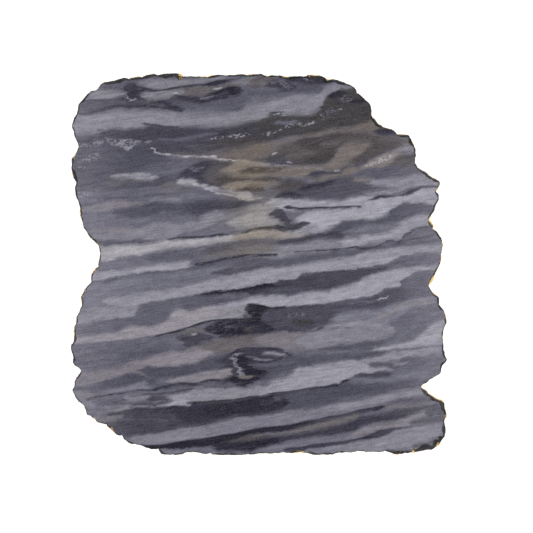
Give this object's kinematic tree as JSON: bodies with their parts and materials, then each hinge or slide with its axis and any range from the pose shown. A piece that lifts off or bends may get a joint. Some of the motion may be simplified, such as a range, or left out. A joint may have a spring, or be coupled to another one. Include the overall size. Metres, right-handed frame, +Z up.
{
  "type": "marble slab",
  "caption": "Flat slab of grey banded marble with a hand-chipped, gilded rim: a serving board or stand that lies on its sawn underside.",
  "frame": {"origin": "on the underside, below the middle of the outline", "axes": "+Z up through the thickness, out of the polished upper face; +Y along the slightly longer side; the bands run near +X"},
  "size_m": [0.3012, 0.3062, 0.013],
  "materials": {
    "marble": "polished grey banded marble with a chipped, gilded rim"
  },
  "bodies": {
    "root": {"marble_slab": "marble"}
  },
  "joints": []
}
